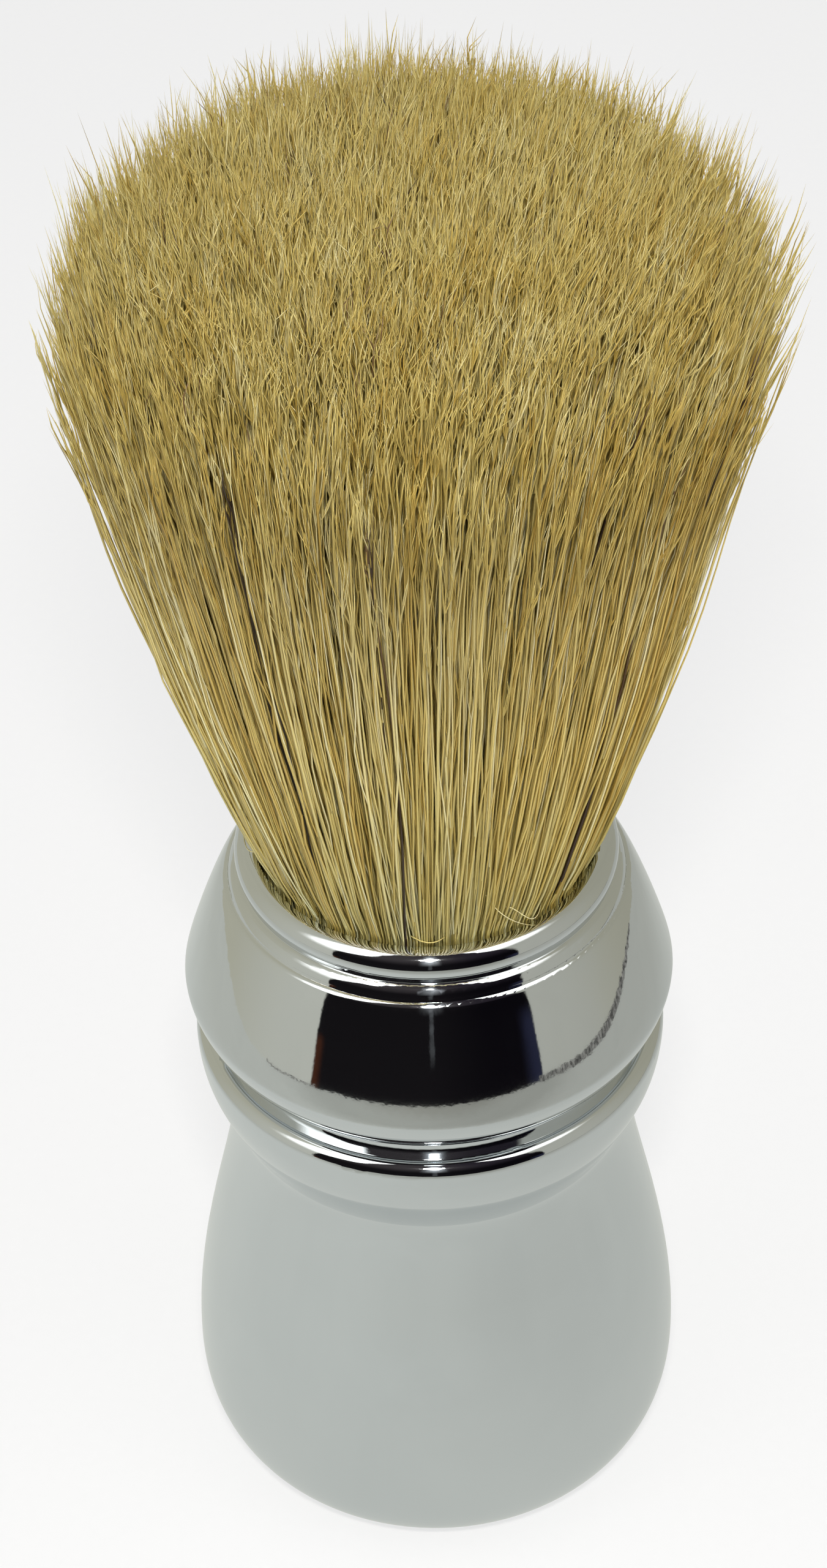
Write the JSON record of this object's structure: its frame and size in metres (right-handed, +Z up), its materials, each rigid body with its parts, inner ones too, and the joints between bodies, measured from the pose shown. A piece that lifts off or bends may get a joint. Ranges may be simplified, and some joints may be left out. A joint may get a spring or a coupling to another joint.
{
  "type": "shaving brush",
  "caption": "Barber's shaving brush: bulging chrome-plated handle with ringed collar, rounded body and flat foot, and a wide fan of pale natural bristle with a domed top.",
  "frame": {"origin": "centre of the foot's rest plane, on the handle's axis", "axes": "+Z up the handle's axis, out through the middle of the tuft; the brush is round about Z, so X and Y are free"},
  "size_m": [0.0512, 0.0512, 0.1239],
  "materials": {
    "chrome_shell": "polished",
    "cap_plastic": "matte",
    "adhesive": "gloss",
    "cup_plastic": "satin",
    "cast_resin": "gloss",
    "cord": "matte",
    "bristle": "satin"
  },
  "bodies": {
    "handle": {"handle_body": "chrome_shell", "handle_collar": "chrome_shell", "base_cap": "cap_plastic", "knot_adhesive": "adhesive", "knot_cup": "cup_plastic", "resin_plug": "cast_resin", "binding_cord": "cord", "bristle_root": "bristle"},
    "tuft_neck": {"bristle_neck": "bristle"},
    "tuft": {"bristle_fan": "bristle"}
  },
  "joints": [
    {"name": "tuft_flex_x", "type": "hinge", "parent": "handle", "child": "tuft_neck", "pos_m": [0, 0, 0.0639], "axis": [1, 0, 0], "range_deg": [-20, 20], "stiffness_Nm_per_rad": 0.25},
    {"name": "tuft_flex_y", "type": "hinge", "parent": "tuft_neck", "child": "tuft", "pos_m": [0, 0, 0.0639], "axis": [0, 1, 0], "range_deg": [-20, 20], "stiffness_Nm_per_rad": 0.25}
  ]
}
